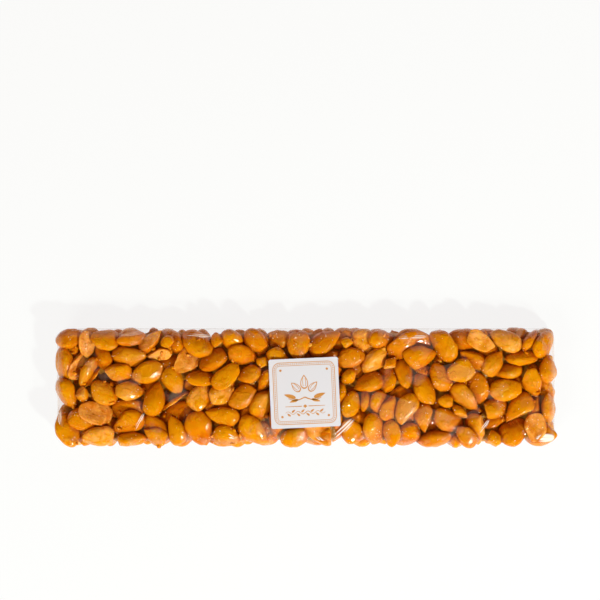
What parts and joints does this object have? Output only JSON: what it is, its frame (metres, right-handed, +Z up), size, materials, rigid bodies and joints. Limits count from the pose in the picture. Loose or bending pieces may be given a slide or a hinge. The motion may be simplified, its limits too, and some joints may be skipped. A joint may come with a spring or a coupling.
{
  "type": "wrapped almond nougat bar",
  "caption": "Long flat bar of whole caramelised almonds, tightly wrapped in clear film, with a square paper label on top.",
  "frame": {"origin": "middle of the flat underside", "axes": "+X along the bar's length, +Y across its width, +Z up through the label"},
  "size_m": [0.2869, 0.0684, 0.0206],
  "materials": {
    "glazed_almonds": "gloss",
    "caramel": "gloss",
    "clear_film": "gloss",
    "label_paper": "satin",
    "gold_print": "satin"
  },
  "bodies": {
    "root": {"wrapped_bar": "glazed_almonds", "label": "label_paper"}
  },
  "joints": []
}
